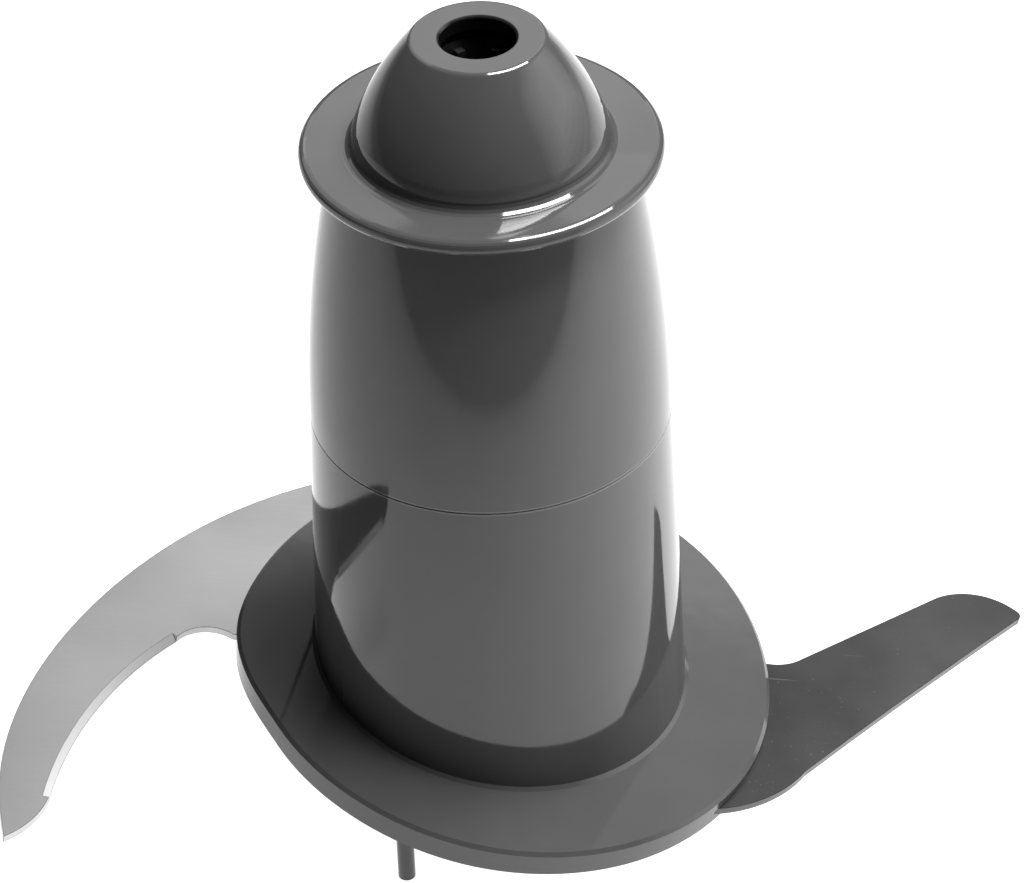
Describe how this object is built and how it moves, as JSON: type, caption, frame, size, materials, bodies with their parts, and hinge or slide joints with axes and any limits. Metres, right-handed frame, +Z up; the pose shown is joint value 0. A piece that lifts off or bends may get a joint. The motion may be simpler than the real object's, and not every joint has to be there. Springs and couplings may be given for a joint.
{
  "type": "food processor blade",
  "caption": "Tall hollow drive hub with a lifting collar and a tilted flange that clamps a sickle-shaped and a straight steel chopping blade.",
  "frame": {"origin": "on the hub's axis, in the plane of the drive tube's foot that the part stands on", "axes": "+Z up the hub's axis towards the lifting collar, -X towards the high sickle blade, +X towards the low straight blade"},
  "size_m": [0.1585, 0.0852, 0.1373],
  "materials": {
    "hub_plastic": "glossy dark grey moulding",
    "socket_plastic": "satin black moulding",
    "blade_steel": "ground and finely polished stainless steel",
    "low_blade_steel": "ground stainless steel, duller and darker"
  },
  "bodies": {
    "root": {"upper_sleeve": "hub_plastic", "lower_sleeve": "hub_plastic", "drive_socket": "socket_plastic", "upper_blade": "blade_steel", "lower_blade": "low_blade_steel", "bottom_plate": "hub_plastic"}
  },
  "joints": []
}
